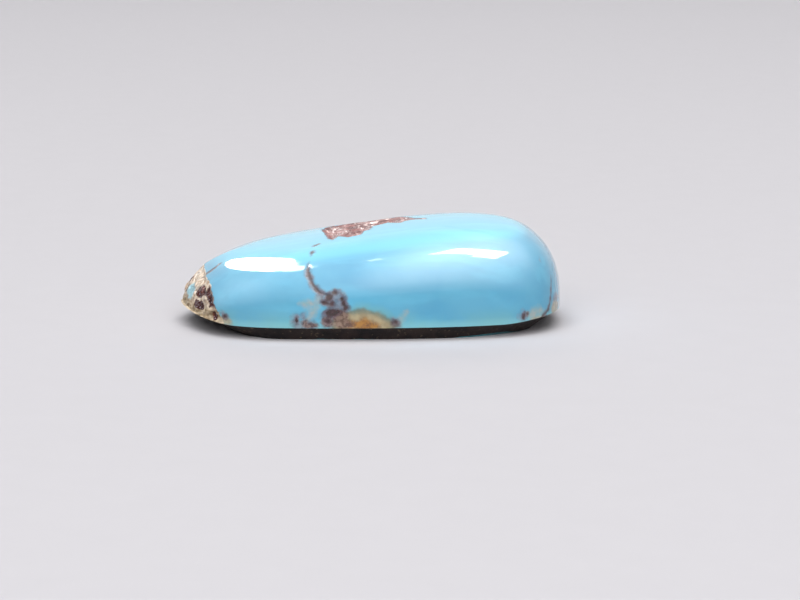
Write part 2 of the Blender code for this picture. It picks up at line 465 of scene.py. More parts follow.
class Graph:
    """A node tree with short calls for the nodes that the finishes are made of."""

    def __init__(self, tree: bpy.types.NodeTree) -> None:
        """Keep the tree that the calls add to."""
        self.tree = tree

    def feed(self, target: Socket, value: Feed) -> None:
        """Link a socket to the target, or set the target's own value.

        Args:
            target: the input to feed.
            value: another node's output, a number, or a colour or vector of three numbers.
        """
        if isinstance(value, Socket):
            self.tree.links.new(value, target)
        elif isinstance(value, tuple) and len(target.default_value) == 4:
            target.default_value = (*value, 1.0)
        else:
            target.default_value = value

    def node(self, kind: str, inputs: dict[str | int, Feed] | None = None, **settings: object) -> bpy.types.Node:
        """Add a node.

        Args:
            kind: the node's type name.
            inputs: what each named or numbered input is fed.
            settings: the node's own properties.

        Returns:
            The new node.
        """
        made = self.tree.nodes.new(kind)
        for name, value in settings.items():
            setattr(made, name, value)
        for key, value in (inputs or {}).items():
            self.feed(made.inputs[key], value)
        return made

    def math(self, operation: str, first: Feed, second: Feed = 0.0, third: Feed = 0.0) -> Socket:
        """A Math node's result for up to three values."""
        return self.node("ShaderNodeMath", {0: first, 1: second, 2: third}, operation=operation).outputs[0]

    def vector(self, operation: str, first: Feed, second: Feed = (0.0, 0.0, 0.0)) -> bpy.types.Node:
        """A Vector Math node for two vectors."""
        return self.node("ShaderNodeVectorMath", {0: first, 1: second}, operation=operation)

    def mix(self, share: Feed, first: Feed, second: Feed) -> Socket:
        """A colour that goes from the first to the second as share goes from 0 to 1."""
        return self.node("ShaderNodeMix", {0: share, 6: first, 7: second}, data_type="RGBA").outputs[2]

    def lerp(self, share: Feed, first: Feed, second: Feed) -> Socket:
        """A number that goes from the first to the second as share goes from 0 to 1."""
        return self.node("ShaderNodeMix", {0: share, 2: first, 3: second}, data_type="FLOAT").outputs[0]

    def ease(self, value: Feed, start: Feed, end: Feed) -> Socket:
        """A share that eases from 0 at start to 1 at end."""
        inputs = {"Value": value, "From Min": start, "From Max": end}
        return self.node("ShaderNodeMapRange", inputs, interpolation_type="SMOOTHSTEP").outputs[0]

    def noise(self, position: Socket, size: float, detail: float = 3.0, warp: float = 0.0) -> Socket:
        """Soft noise from 0 to 1, about 0.5 on the whole, whose largest lumps are size millimetres wide."""
        inputs = {"Vector": position, "Scale": 1.0 / size, "Detail": detail, "Distortion": warp}
        return self.node("ShaderNodeTexNoise", inputs).outputs["Fac"]

    def fact(self, kept: Filling | Vertex) -> Socket:
        """What the mesh keeps at its vertices: the distance to a filling in millimetres, or another fact."""
        return self.node("ShaderNodeAttribute", attribute_name=kept.value).outputs["Fac"]

    def millimetres(self) -> Socket:
        """Object coordinates in millimetres."""
        place = self.node("ShaderNodeTexCoord").outputs["Object"]
        return self.scaled(place, (1.0 / MM,) * 3)

    def scaled(self, place: Socket, factor: Point) -> Socket:
        """A vector with each part times its own factor."""
        return self.vector("MULTIPLY", place, factor).outputs[0]

    def moved(self, place: Socket, offset: Point) -> Socket:
        """A vector moved by an offset, which picks another stretch of the same noise."""
        return self.vector("ADD", place, offset).outputs[0]

    def profile(self, value: Feed, stops: tuple[tuple[float, float], ...]) -> Socket:
        """A curve from 0 to 1 through (place, value) stops, smoothed between them."""
        ramp = self.node("ShaderNodeValToRGB", {"Fac": value})
        ramp.color_ramp.interpolation = "B_SPLINE"
        elements = ramp.color_ramp.elements
        for place, _ in stops[2:]:
            elements.new(place)
        for element, (place, level) in zip(elements, stops):
            element.position = place
            element.color = (level, level, level, 1.0)
        return ramp.outputs["Color"]

    def use(self, group: bpy.types.NodeTree, inputs: dict[str | int, Feed]) -> bpy.types.Node:
        """Place a shared effect with its own values."""
        made = self.tree.nodes.new("ShaderNodeGroup")
        made.node_tree = group
        for key, value in inputs.items():
            self.feed(made.inputs[key], value)
        return made


class SharedEffects:
    """Node groups that more than one finish places, each built once."""

    def __init__(self) -> None:
        """Build every group."""
        self.ragged_edge = self._ragged_edge()
        self.facets = self._facets()
        self.host_rock = self._host_rock()

    @staticmethod
    def _open(name: str, inputs: dict[str, str], outputs: dict[str, str]) -> tuple[Graph, bpy.types.Node, bpy.types.Node]:
        """Start a group.

        Args:
            name: what the effect is called.
            inputs: the kind of each named input: Float, Vector or Color.
            outputs: the kind of each named output.

        Returns:
            Its graph, its input node and its output node.
        """
        tree = bpy.data.node_groups.new(name, "ShaderNodeTree")
        for label, kind in inputs.items():
            tree.interface.new_socket(label, in_out="INPUT", socket_type=f"NodeSocket{kind}")
        for label, kind in outputs.items():
            tree.interface.new_socket(label, in_out="OUTPUT", socket_type=f"NodeSocket{kind}")
        return Graph(tree), tree.nodes.new("NodeGroupInput"), tree.nodes.new("NodeGroupOutput")

    def _ragged_edge(self) -> bpy.types.NodeTree:
        """A distance's inside as a mask, its edge frayed by noise: 1 within, 0 without, eased between."""
        inputs = {"Position": "Vector", "Distance": "Float", "Fray": "Float", "Size": "Float", "Softness": "Float"}
        graph, given, result = self._open("ragged edge", inputs, {"Mask": "Float"})
        scale = graph.math("DIVIDE", 1.0, given.outputs["Size"])
        noise = graph.node("ShaderNodeTexNoise", {"Vector": given.outputs["Position"], "Scale": scale, "Detail": 4.0})
        centred = graph.math("MULTIPLY_ADD", noise.outputs["Fac"], 4.0, -2.0)
        frayed = graph.math("MULTIPLY_ADD", centred, given.outputs["Fray"], given.outputs["Distance"])
        inner = graph.math("MULTIPLY", given.outputs["Softness"], -1.0)
        graph.feed(result.inputs["Mask"], graph.ease(frayed, given.outputs["Softness"], inner))
        return graph.tree

    def _facets(self) -> bpy.types.NodeTree:
        """Broken crystal faces: in each cell the height is the place from the cell's middle, dot a random tilt."""
        graph, given, result = self._open(
            "broken facets", {"Position": "Vector", "Size": "Float"}, {"Height": "Float", "Tone": "Float"})
        scale = graph.math("DIVIDE", 1.0, given.outputs["Size"])
        cells = graph.node("ShaderNodeTexVoronoi", {"Vector": given.outputs["Position"], "Scale": scale})
        tilt = graph.vector("SUBTRACT", cells.outputs["Color"], (0.5, 0.5, 0.5)).outputs[0]
        offset = graph.vector("SUBTRACT", given.outputs["Position"], cells.outputs["Position"]).outputs[0]
        graph.feed(result.inputs["Height"], graph.vector("DOT_PRODUCT", tilt, offset).outputs["Value"])
        red = graph.node("ShaderNodeSeparateXYZ", {0: cells.outputs["Color"]}).outputs["X"]
        graph.feed(result.inputs["Tone"], red)
        return graph.tree

    def _host_rock(self) -> bpy.types.NodeTree:
        """Iron-stained rock: two colours that cloud into each other, flecked with a third, and its grain's height."""
        inputs = {"Position": "Vector", "Size": "Float", "Dark": "Color", "Light": "Color", "Fleck": "Color"}
        graph, given, result = self._open("host rock", inputs, {"Color": "Color", "Height": "Float"})
        scale = graph.math("DIVIDE", 1.0, given.outputs["Size"])
        place = given.outputs["Position"]
        cloud = graph.node("ShaderNodeTexNoise", {"Vector": place, "Scale": scale, "Detail": 5.0, "Distortion": 0.6})
        share = graph.ease(cloud.outputs["Fac"], 0.38, 0.64)
        mixed = graph.mix(share, given.outputs["Dark"], given.outputs["Light"])
        fine = graph.math("MULTIPLY", scale, 5.0)
        grain = graph.node("ShaderNodeTexNoise", {"Vector": place, "Scale": fine, "Detail": 3.0})
        fleck = graph.ease(grain.outputs["Fac"], 0.60, 0.70)
        graph.feed(result.inputs["Color"], graph.mix(fleck, mixed, given.outputs["Fleck"]))
        height = graph.math("ADD", cloud.outputs["Fac"], graph.math("MULTIPLY", grain.outputs["Fac"], 0.35))
        graph.feed(result.inputs["Height"], height)
        return graph.tree


@dataclass(frozen=True)
class Edge:
    """How a filling's outline frays: how far, in lumps how wide and across what soft band, in millimetres."""

    fray: float
    size: float
    softness: float


@dataclass(frozen=True)
class Canvas:
    """A material in the making: its graph, the shared effects and the place on the stone in millimetres."""

    graph: Graph
    effects: SharedEffects
    place: Socket

    def mask(self, filling: Filling, edge: Edge, grow: float = 0.0) -> Socket:
        """Where a filling is, grown by some millimetres.

        Args:
            filling: what to show.
            edge: how its outline frays.
            grow: how far the outline moves out.

        Returns:
            1 inside and 0 outside, with a soft edge.
        """
        distance = self.graph.math("SUBTRACT", self.graph.fact(filling), grow)
        inputs = {"Position": self.place, "Distance": distance, "Fray": edge.fray, "Size": edge.size,
                  "Softness": edge.softness}
        return self.graph.use(self.effects.ragged_edge, inputs).outputs["Mask"]

    def clouds(self, size: float, low: float = 0.38, high: float = 0.62, offset: Point = (0.0, 0.0, 0.0)) -> Socket:
        """Clouded shares from 0 to 1.

        Args:
            size: width of the largest clouds in millimetres.
            low: the noise value that gives 0.
            high: the noise value that gives 1.
            offset: picks another stretch of the same noise.

        Returns:
            The share.
        """
        return self.graph.ease(self.graph.noise(self.graph.moved(self.place, offset), size, 4.0), low, high)

    def height(self) -> Socket:
        """The place's height above the table in millimetres."""
        return self.graph.node("ShaderNodeSeparateXYZ", {0: self.place}).outputs["Z"]

    def rock(self, size: float, dark: Colour, light: Colour, fleck: Colour, place: Socket | None = None) -> bpy.types.Node:
        """The shared host rock in its own colours.

        Args:
            size: width of its clouds in millimetres.
            dark: the one colour.
            light: the other colour.
            fleck: the colour of its flecks.
            place: where to read it, if not at the plain position.

        Returns:
            The group's node, with Color and Height outputs.
        """
        inputs = {"Position": place or self.place, "Size": size, "Dark": dark, "Light": light, "Fleck": fleck}
        return self.graph.use(self.effects.host_rock, inputs)


@dataclass(frozen=True)
class Look:
    """What a layer shows: its colour, roughness, the share of metal-like glints and its height in millimetres."""

    colour: Socket
    roughness: Feed
    glint: Feed
    height: Socket


@dataclass(frozen=True)
class Deposit:
    """How one filling is laid into the blue: its edge, its strength and the two colours that cloud it."""

    filling: Filling
    edge: Edge
    strength: float
    dark: Colour
    light: Colour
    grain: float
    grow: float = 0.0

    def lay(self, canvas: Canvas, colour: Socket) -> Socket:
        """Lay the filling over a colour.

        Args:
            canvas: the material in the making.
            colour: what lies under it.

        Returns:
            The colour with the filling in it.
        """
        offset = (3.0 * self.grain, 11.0 * self.grow, 5.0 * self.strength)
        own = canvas.graph.mix(canvas.clouds(self.grain, offset=offset), self.dark, self.light)
        share = canvas.graph.math("MULTIPLY", canvas.mask(self.filling, self.edge, self.grow), self.strength)
        return canvas.graph.mix(share, colour, own)


@dataclass(frozen=True)
class Turquoise:
    """The polished blue: clouds, drawn-out streaks, a painted lighter top as if lit from above, a painted band of
    reflection on the crown and a greener foot, with its matrix laid in.
    """

    blue: Colour = reflectance("58a8c8")
    deep_blue: Colour = reflectance("469cc2")
    # Paler cyan of the stone's own streaks, also painted on the top as light from above.
    streak_and_painted_top_blue: Colour = reflectance("6fd2ef")
    pale_blue: Colour = reflectance("7cc0d2")
    # Darker cyan of the painted reflection band on the crown.
    painted_reflection_blue: Colour = reflectance("4fb9e0")
    sea_green: Colour = reflectance("72ae9f")
    rim: Colour = reflectance("84c2c6")
    deposits: tuple[Deposit, ...] = (
        Deposit(Filling.OCHRE, Edge(0.14, 1.0, 0.35), 0.45, reflectance("6fa792"), reflectance("78aa9c"), 0.8, 0.34),
        Deposit(Filling.CRUST, Edge(0.16, 0.6, 0.24), 0.85, reflectance("8f866c"), reflectance("ab9e82"), 0.5),
        Deposit(Filling.CREAM, Edge(0.14, 0.5, 0.28), 0.58, reflectance("8faaa4"), reflectance("bda98c"), 0.5),
        Deposit(Filling.HAZE, Edge(0.20, 0.45, 0.24), 0.72, reflectance("5d5460"), reflectance("7d828e"), 0.3),
        Deposit(Filling.OCHRE, Edge(0.08, 0.6, 0.16), 0.75, reflectance("5b5c40"), reflectance("77704e"), 0.6, 0.06),
        Deposit(Filling.OCHRE, Edge(0.10, 0.6, 0.26), 0.92, reflectance("9c8c68"), reflectance("b3a27c"), 0.7, -0.20),
        Deposit(Filling.GOLD, Edge(0.16, 0.5, 0.22), 0.92, reflectance("70451e"), reflectance("a8701c"), 0.35),
        Deposit(Filling.RUST, Edge(0.14, 0.30, 0.16), 0.85, reflectance("4a2924"), reflectance("82665a"), 0.22),
        Deposit(Filling.BROWN, Edge(0.13, 0.45, 0.16), 0.75, reflectance("452b34"), reflectance("66505c"), 0.3, 0.09),
        Deposit(Filling.BROWN, Edge(0.09, 0.30, 0.10), 0.95, reflectance("28110f"), reflectance("3c2023"), 0.3, -0.04),
    )

    def look(self, canvas: Canvas) -> Socket:
        """The colour of the polished stone.

        Args:
            canvas: the material in the making.

        Returns:
            The colour.
        """
        graph, place = canvas.graph, canvas.place
        parts = graph.node("ShaderNodeSeparateXYZ", {0: place}).outputs
        colour = graph.mix(canvas.clouds(6.0, 0.35, 0.70), self.deep_blue, self.blue)
        left = graph.math("MULTIPLY", graph.ease(parts["X"], 2.0, -6.0), graph.ease(parts["Z"], 4.4, 1.8))
        colour = graph.mix(graph.math("MULTIPLY", left, 0.18), colour, self.pale_blue)
        slanted = graph.node("ShaderNodeMapping", {"Vector": place, "Rotation": (0.0, 0.12, 0.25), "Scale": (0.22, 1.0, 1.0)})
        streaks = graph.ease(graph.noise(slanted.outputs[0], 1.6, 4.0, 0.3), 0.45, 0.75)
        # Painted top light: upward-facing surface is mixed towards paler cyan, as if lit more from above. The streaks
        # are the stone's own paler streaks.
        crown = graph.ease(graph.fact(Vertex.CROWN), 0.0, 1.0)
        light = graph.math("MULTIPLY_ADD", streaks, 0.30, graph.math("MULTIPLY", crown, 0.80))
        colour = graph.mix(light, colour, self.streak_and_painted_top_blue)
        # Painted reflection: a darker cyan band across the crown's front right.
        band = canvas.mask(Filling.DEEP, Edge(0.30, 1.2, 0.55))
        colour = graph.mix(graph.math("MULTIPLY", band, 0.55), colour, self.painted_reflection_blue)
        patch = canvas.clouds(2.4, 0.35, 0.65, (7.0, 3.0, 1.0))
        low = graph.math("MULTIPLY", graph.ease(parts["Z"], 2.6, 0.9), graph.lerp(patch, 0.05, 0.45))
        colour = graph.mix(low, colour, self.sea_green)
        colour = graph.mix(graph.math("MULTIPLY", graph.ease(parts["Z"], 1.60, 1.02), 0.5), colour, self.rim)
        for deposit in self.deposits:
            colour = deposit.lay(canvas, colour)
        return colour


@dataclass(frozen=True)
class NaturalSkin:
    """The unpolished low end: cream and tan crystal over dark red ironstone, broken into small facets."""

    edge: Edge = Edge(0.16, 0.45, 0.05)
    cream: Colour = reflectance("e4d6c4")
    tan: Colour = reflectance("b79d86")
    grey: Colour = reflectance("958a80")
    # Dark flecks painted among the crystals as shade in the gaps between them.
    gap: Colour = reflectance("5e483d")
    foot_light: Colour = reflectance("cdbca2")
    foot_dark: Colour = reflectance("8f7c60")
    blue: Colour = reflectance("9ecad6")
    iron: Colour = reflectance("3c120f")
    iron_light: Colour = reflectance("7e3d22")
    # Pale colour of the specks painted on the ironstone as glints (painted highlights).
    glint: Colour = reflectance("b9b3bd")
    border: Colour = reflectance("463240")

    def look(self, canvas: Canvas) -> Look:
        """The skin's look.

        Args:
            canvas: the material in the making.

        Returns:
            Its colour, roughness, glints and height.
        """
        graph = canvas.graph
        height = canvas.height()
        facets = graph.use(canvas.effects.facets, {"Position": canvas.place, "Size": 0.24})
        # The crystal's dark flecks are painted shade between the grains.
        crystal = canvas.rock(0.45, self.tan, self.cream, self.gap)
        colour = graph.mix(canvas.clouds(0.9, 0.52, 0.66, (4.0, 1.0, 2.0)), crystal.outputs["Color"], self.grey)
        bright = graph.math("MULTIPLY", graph.ease(facets.outputs["Tone"], 0.45, 0.75), graph.ease(height, 2.9, 3.3))
        colour = graph.mix(graph.math("MULTIPLY", bright, 0.8), colour, self.cream)

        drawn = graph.node("ShaderNodeMapping", {
            "Vector": canvas.place, "Rotation": (0.0, 0.0, 0.9), "Scale": (0.25, 0.8, 2.2)})
        striped = graph.ease(graph.noise(drawn.outputs[0], 0.5, 3.0), 0.38, 0.62)
        foot = graph.mix(striped, self.foot_dark, self.foot_light)
        colour = graph.mix(graph.ease(height, 2.2, 1.7), colour, foot)

        blue = graph.math("MULTIPLY", canvas.mask(Filling.WINDOW, Edge(0.14, 0.4, 0.16)), 0.9)
        colour = graph.mix(blue, colour, self.blue)

        iron = canvas.mask(Filling.IRONSTONE, Edge(0.14, 0.35, 0.06))
        red = graph.mix(canvas.clouds(0.4, 0.52, 0.72, (1.0, 6.0, 3.0)), self.iron, self.iron_light)
        # Painted highlights: fine pale specks painted on the ironstone as glints.
        painted_glint_specks = graph.ease(graph.noise(canvas.place, 0.10, 1.0), 0.60, 0.68)
        colour = graph.mix(iron, colour, graph.mix(graph.math("MULTIPLY", painted_glint_specks, 0.75), red, self.glint))

        line = graph.math("MULTIPLY", graph.ease(graph.fact(Filling.SKIN), -0.24, -0.04), graph.ease(height, 1.7, 2.1))
        line = graph.math("MULTIPLY", line, graph.ease(height, 3.4, 3.1))
        colour = graph.mix(graph.math("MULTIPLY", line, 0.7), colour, self.border)

        roughness = graph.lerp(iron, graph.lerp(facets.outputs["Tone"], 0.30, 0.65), 0.35)
        shine = graph.math("MULTIPLY", graph.math("GREATER_THAN", facets.outputs["Tone"], 0.62), 0.30)
        relief = graph.math("MULTIPLY_ADD", crystal.outputs["Height"], 0.06, facets.outputs["Height"])
        return Look(colour, roughness, shine, relief)


@dataclass(frozen=True)
class FanRock:
    """The rock sunk in the crown: reddish brown, drawn out into ripples with pale crests, which are its pale streaks
    with painted glints on them, and a dark outline.
    """

    edge: Edge = Edge(0.12, 0.35, 0.06)
    brown: Colour = reflectance("8a5853")
    deep: Colour = reflectance("56302f")
    # Pale streaks of the rock, also painted on the ripple crests as glints (painted highlights).
    pale: Colour = reflectance("cfb8b2")
    outline: Colour = reflectance("574049")

    def look(self, canvas: Canvas) -> Look:
        """The fan's look.

        Args:
            canvas: the material in the making.

        Returns:
            Its colour, roughness, glints and height.
        """
        graph = canvas.graph
        drawn = graph.node("ShaderNodeMapping", {
            "Vector": canvas.place, "Rotation": (0.0, 0.0, 0.15), "Scale": (1.0, 0.6, 1.0)}).outputs[0]
        rock = canvas.rock(0.9, self.deep, self.brown, self.pale, drawn)
        crest = graph.noise(drawn, 0.6, 4.0, 0.6)
        # The crests are painted pale: the rock's pale streaks with painted glints on them.
        colour = graph.mix(graph.ease(crest, 0.56, 0.66), rock.outputs["Color"], self.pale)
        border = graph.math("MULTIPLY", graph.ease(graph.fact(Filling.FAN), -0.22, 0.0), 0.8)
        colour = graph.mix(border, colour, self.outline)
        shine = graph.math("MULTIPLY", graph.ease(crest, 0.56, 0.70), 0.35)
        return Look(colour, graph.lerp(crest, 0.5, 0.25), shine, graph.math("MULTIPLY", crest, 0.16))


@dataclass(frozen=True)
class Finish:
    """What every finish shares: its name and the shader values that are the same all over."""

    name: str
    ior: float = 1.55
    specular: float = 0.5

    def start(self, effects: SharedEffects) -> tuple[bpy.types.Material, bpy.types.Node, Canvas]:
        """Start the material.

        Args:
            effects: the shared groups.

        Returns:
            The material, its Principled shader and the canvas to paint on.
        """
        made = bpy.data.materials.new(self.name)
        made.use_nodes = True
        graph = Graph(made.node_tree)
        shader = made.node_tree.nodes["Principled BSDF"]
        shader.inputs["IOR"].default_value = self.ior
        shader.inputs["Specular IOR Level"].default_value = self.specular
        return made, shader, Canvas(graph, effects, graph.millimetres())

    @staticmethod
    def emboss(canvas: Canvas, shader: bpy.types.Node, height: Socket) -> None:
        """Turn a height in millimetres into the shader's normal."""
        bump = canvas.graph.node("ShaderNodeBump", {"Height": height, "Distance": MM, "Strength": 1.0})
        canvas.graph.feed(shader.inputs["Normal"], bump.outputs["Normal"])


@dataclass(frozen=True)
class UpperSide(Finish):
    """Everything over the girdle. The polish is a clear coat, which stops at the skin and at the crown's fan."""

    name: str = "turquoise_upper_side"
    specular: float = 0.10
    polish_ior: float = 1.61
    polish_roughness: float = 0.05
    matt: float = 0.85
    stone: Turquoise = Turquoise()
    skin: NaturalSkin = NaturalSkin()
    fan: FanRock = FanRock()

    def material(self, effects: SharedEffects) -> bpy.types.Material:
        """The finish as a material: the polished stone, then the fan and the skin over it.

        Args:
            effects: the shared groups.

        Returns:
            The material.
        """
        made, shader, canvas = self.start(effects)
        graph = canvas.graph
        shader.inputs["Coat IOR"].default_value = self.polish_ior
        shader.inputs["Coat Roughness"].default_value = self.polish_roughness
        colour, rough, shine, relief, coat = self.stone.look(canvas), self.matt, 0.0, 0.0, 1.0
        for layer, filling in ((self.fan, Filling.FAN), (self.skin, Filling.SKIN)):
            look = layer.look(canvas)
            there = canvas.mask(filling, layer.edge)
            colour = graph.mix(there, colour, look.colour)
            rough = graph.lerp(there, rough, look.roughness)
            shine = graph.lerp(there, shine, look.glint)
            relief = graph.math("MULTIPLY_ADD", there, look.height, relief)
            coat = graph.math("MULTIPLY", coat, graph.math("SUBTRACT", 1.0, there))
        for name, value in (("Base Color", colour), ("Roughness", rough), ("Metallic", shine), ("Coat Weight", coat)):
            graph.feed(shader.inputs[name], value)
        self.emboss(canvas, shader, relief)
        return made


@dataclass(frozen=True)
class SawnBack(Finish):
    """The unpolished bevel and back: dark iron-stained host rock, painted near black so that the band under the girdle
    also reads as contact shade, with dull blue where the stone runs through.
    """

    name: str = "dark_back_and_painted_contact_shade"
    specular: float = 0.2
    # Near black: the back's own dark rock together with painted shade under the girdle.
    dark: Colour = reflectance("141012")
    light: Colour = reflectance("2c211e")
    fleck: Colour = reflectance("55483b")
    blue: Colour = reflectance("4d8d98")
    roughness: float = 0.6

    def material(self, effects: SharedEffects) -> bpy.types.Material:
        """The finish as a material.

        Args:
            effects: the shared groups.

        Returns:
            The material.
        """
        made, shader, canvas = self.start(effects)
        graph, place = canvas.graph, canvas.place
        rock = canvas.rock(1.6, self.dark, self.light, self.fleck)
        island = graph.math("MULTIPLY_ADD", graph.noise(graph.moved(place, (2.0, 9.0, 4.0)), 5.0, 3.0), -8.0, 4.1)
        island = graph.math("MULTIPLY_ADD", canvas.height(), 9.0, island)
        inputs = {"Position": place, "Distance": island, "Fray": 0.3, "Size": 1.0, "Softness": 0.12}
        blue = graph.use(effects.ragged_edge, inputs).outputs["Mask"]
        graph.feed(shader.inputs["Base Color"], graph.mix(blue, rock.outputs["Color"], self.blue))
        graph.feed(shader.inputs["Roughness"], graph.lerp(blue, self.roughness, 0.42))
        chips = graph.use(effects.facets, {"Position": place, "Size": 0.35})
        saw = graph.noise(graph.scaled(place, (0.05, 1.0, 0.05)), 0.25, 2.0)
        relief = graph.math("MULTIPLY_ADD", chips.outputs["Height"], 0.15, graph.math("MULTIPLY", saw, 0.012))
        self.emboss(canvas, shader, graph.math("MULTIPLY_ADD", rock.outputs["Height"], 0.02, relief))
        return made


@dataclass(frozen=True)
class Cabochon:
    """The stone as one closed surface: its cut form with the relief cut into it, dressed in its finishes."""

    form: StoneForm
    matrix: Matrix
    relief: Relief
    upper: UpperSide = UpperSide()
    back: SawnBack = SawnBack()
    sharp_angle: float = 35.0

    def slots(self) -> np.ndarray:
        """The finish of each face: the upper side's over the girdle ring and the sawn back's under it."""
        count, rings = self.form.segments, self.form.ring_count
        ring = np.concatenate((np.zeros(count), np.repeat(np.arange(rings - 1), count), np.full(count, rings)))
        return np.where(ring < self.form.girdle_ring, Slot.UPPER.value, Slot.BACK.value).astype(np.int32)

    def build(self, effects: SharedEffects) -> bpy.types.Object:
        """Make the mesh, keep its distances to the matrix, and dress it.

        Args:
            effects: the shared groups.

        Returns:
            The stone's object, at the origin.
        """
        points = self.form.points()
        normals = self.form.normals(points)
        distances = self.matrix.distances(points)
        depth = self.relief.depth(points, normals, distances)
        surface = (points - depth[:, None] * normals) * MM

        faces = self.form.faces()
        mesh = bpy.data.meshes.new("turquoise_stone")
        mesh.from_pydata(surface.tolist(), [], faces)
        facts = {filling.value: distance for filling, distance in distances.items()}
        # How much each vertex faces up, kept for the painted lighter top.
        facts[Vertex.CROWN.value] = smooth_step(normals[:, 2], 0.80, 0.995)
        for name, values in facts.items():
            mesh.attributes.new(name, "FLOAT", "POINT").data.foreach_set("value", values.astype(np.float32))
        for finish in (self.upper, self.back):
            mesh.materials.append(finish.material(effects))
        mesh.polygons.foreach_set("material_index", self.slots())
        mesh.polygons.foreach_set("use_smooth", np.ones(len(faces), dtype=bool))
        mesh.set_sharp_from_angle(angle=np.radians(self.sharp_angle))
        mesh.update()

        stone = bpy.data.objects.new("turquoise_stone", mesh)
        bpy.context.scene.collection.objects.link(stone)
        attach(stone, "root")
        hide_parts(STONE_NODE)
        return stone


FRONT_VEIN = (
    Seam(Filling.BROWN, ((-3.62, -3.55, 6.15, 0.02), (-3.83, -3.90, 6.11, 0.16), (-4.00, -4.3, 6.06, 0.04))),
    Seam(Filling.BROWN, ((-4.02, -5.3, 5.94, 0.0), (-4.10, -5.8, 5.83, 0.14), (-4.12, -6.25, 5.72, 0.0))),
    Seam(Filling.BROWN, (
        (-4.26, -7.12, 5.39, -0.06), (-4.31, -7.85, 4.93, 0.14), (-4.25, -8.19, 4.63, 0.20), (-4.13, -8.45, 4.32, 0.15),
        (-3.94, -8.64, 4.0, 0.14), (-3.69, -8.77, 3.70, 0.20), (-3.50, -8.84, 3.52, 0.12), (-3.1, -8.9, 3.34, 0.0),
    )),
    Nodule(Filling.HAZE, (-3.3, -8.9, 3.35), (0.38, 0.5, 0.28)),
)

FRONT_CLUSTER = (
    Nodule(Filling.BROWN, (-2.81, -8.9, 3.17), (0.30, 0.6, 0.30)),
    Nodule(Filling.BROWN, (-3.09, -8.9, 2.76), (0.24, 0.6, 0.20)),
    Nodule(Filling.BROWN, (-2.42, -8.9, 3.48), (0.22, 0.6, 0.20)),
    Nodule(Filling.BROWN, (-2.62, -8.9, 2.72), (0.16, 0.6, 0.26)),
    Nodule(Filling.BROWN, (-1.90, -8.9, 3.06), (0.13, 0.6, 0.18)),
    Nodule(Filling.BROWN, (-1.79, -8.9, 2.72), (0.18, 0.6, 0.26)),
    Nodule(Filling.BROWN, (-1.62, -8.9, 2.40), (0.20, 0.6, 0.20)),
    Nodule(Filling.BROWN, (-2.66, -8.9, 2.04), (0.46, 0.6, 0.28)),
    Nodule(Filling.BROWN, (-2.20, -8.9, 2.14), (0.20, 0.6, 0.16)),
    Nodule(Filling.RUST, (-2.95, -8.8, 1.42), (0.44, 0.6, 0.42)),
    Nodule(Filling.RUST, (-2.05, -8.9, 1.75), (0.60, 0.6, 0.52)),
    Nodule(Filling.RUST, (-1.80, -8.9, 1.25), (0.70, 0.6, 0.36)),
    Nodule(Filling.BROWN, (-2.95, -8.9, 1.45), (0.22, 0.5, 0.16)),
    Nodule(Filling.HAZE, (-2.45, -8.9, 2.95), (0.88, 0.6, 0.78)),
    Nodule(Filling.HAZE, (-2.3, -8.9, 1.75), (1.10, 0.6, 0.85)),
)

LEFT_CLUSTER = (
    Nodule(Filling.BROWN, (-5.10, -8.8, 1.50), (0.10, 0.5, 0.22)),
    Nodule(Filling.HAZE, (-5.15, -8.8, 1.50), (0.36, 0.5, 0.50)),
    Nodule(Filling.HAZE, (-4.64, -8.85, 1.78), (0.18, 0.5, 0.30)),
    Nodule(Filling.RUST, (-4.52, -8.85, 1.38), (0.26, 0.5, 0.26)),
    Nodule(Filling.RUST, (-4.10, -8.85, 1.14), (0.54, 0.5, 0.20)),
    Nodule(Filling.HAZE, (-4.5, -8.85, 1.15), (0.95, 0.5, 0.36)),
    Seam(Filling.CREAM, (
        (-3.40, -8.85, 3.24, 0.14), (-3.52, -8.85, 3.0, 0.24), (-3.66, -8.85, 2.65, 0.28), (-3.88, -8.9, 2.25, 0.26),
        (-4.08, -8.9, 1.90, 0.24), (-4.30, -8.9, 1.65, 0.16),
    )),
    Nodule(Filling.CREAM, (-4.40, -8.8, 2.72), (0.50, 0.5, 0.22)),
)

OCHRE_LENS = (
    Seam(Filling.OCHRE, (
        (-1.70, -8.9, 1.20, 0.80), (-0.50, -8.9, 1.15, 1.16), (0.35, -8.9, 1.10, 1.00), (1.20, -8.85, 1.08, 0.50),
        (1.75, -8.8, 1.05, 0.12),
    )),
    Seam(Filling.GOLD, ((-1.35, -8.9, 1.20, 0.26), (-0.4, -8.9, 1.22, 0.42), (0.7, -8.9, 1.08, 0.14))),
    Nodule(Filling.BROWN, (1.84, -8.8, 1.32), (0.24, 0.5, 0.20)),
    Nodule(Filling.HAZE, (1.84, -8.8, 1.30), (0.42, 0.5, 0.38)),
    Seam(Filling.CREAM, ((2.0, -8.85, 1.35, 0.12), (2.35, -8.85, 1.60, 0.18), (2.62, -8.85, 2.05, 0.10))),
)

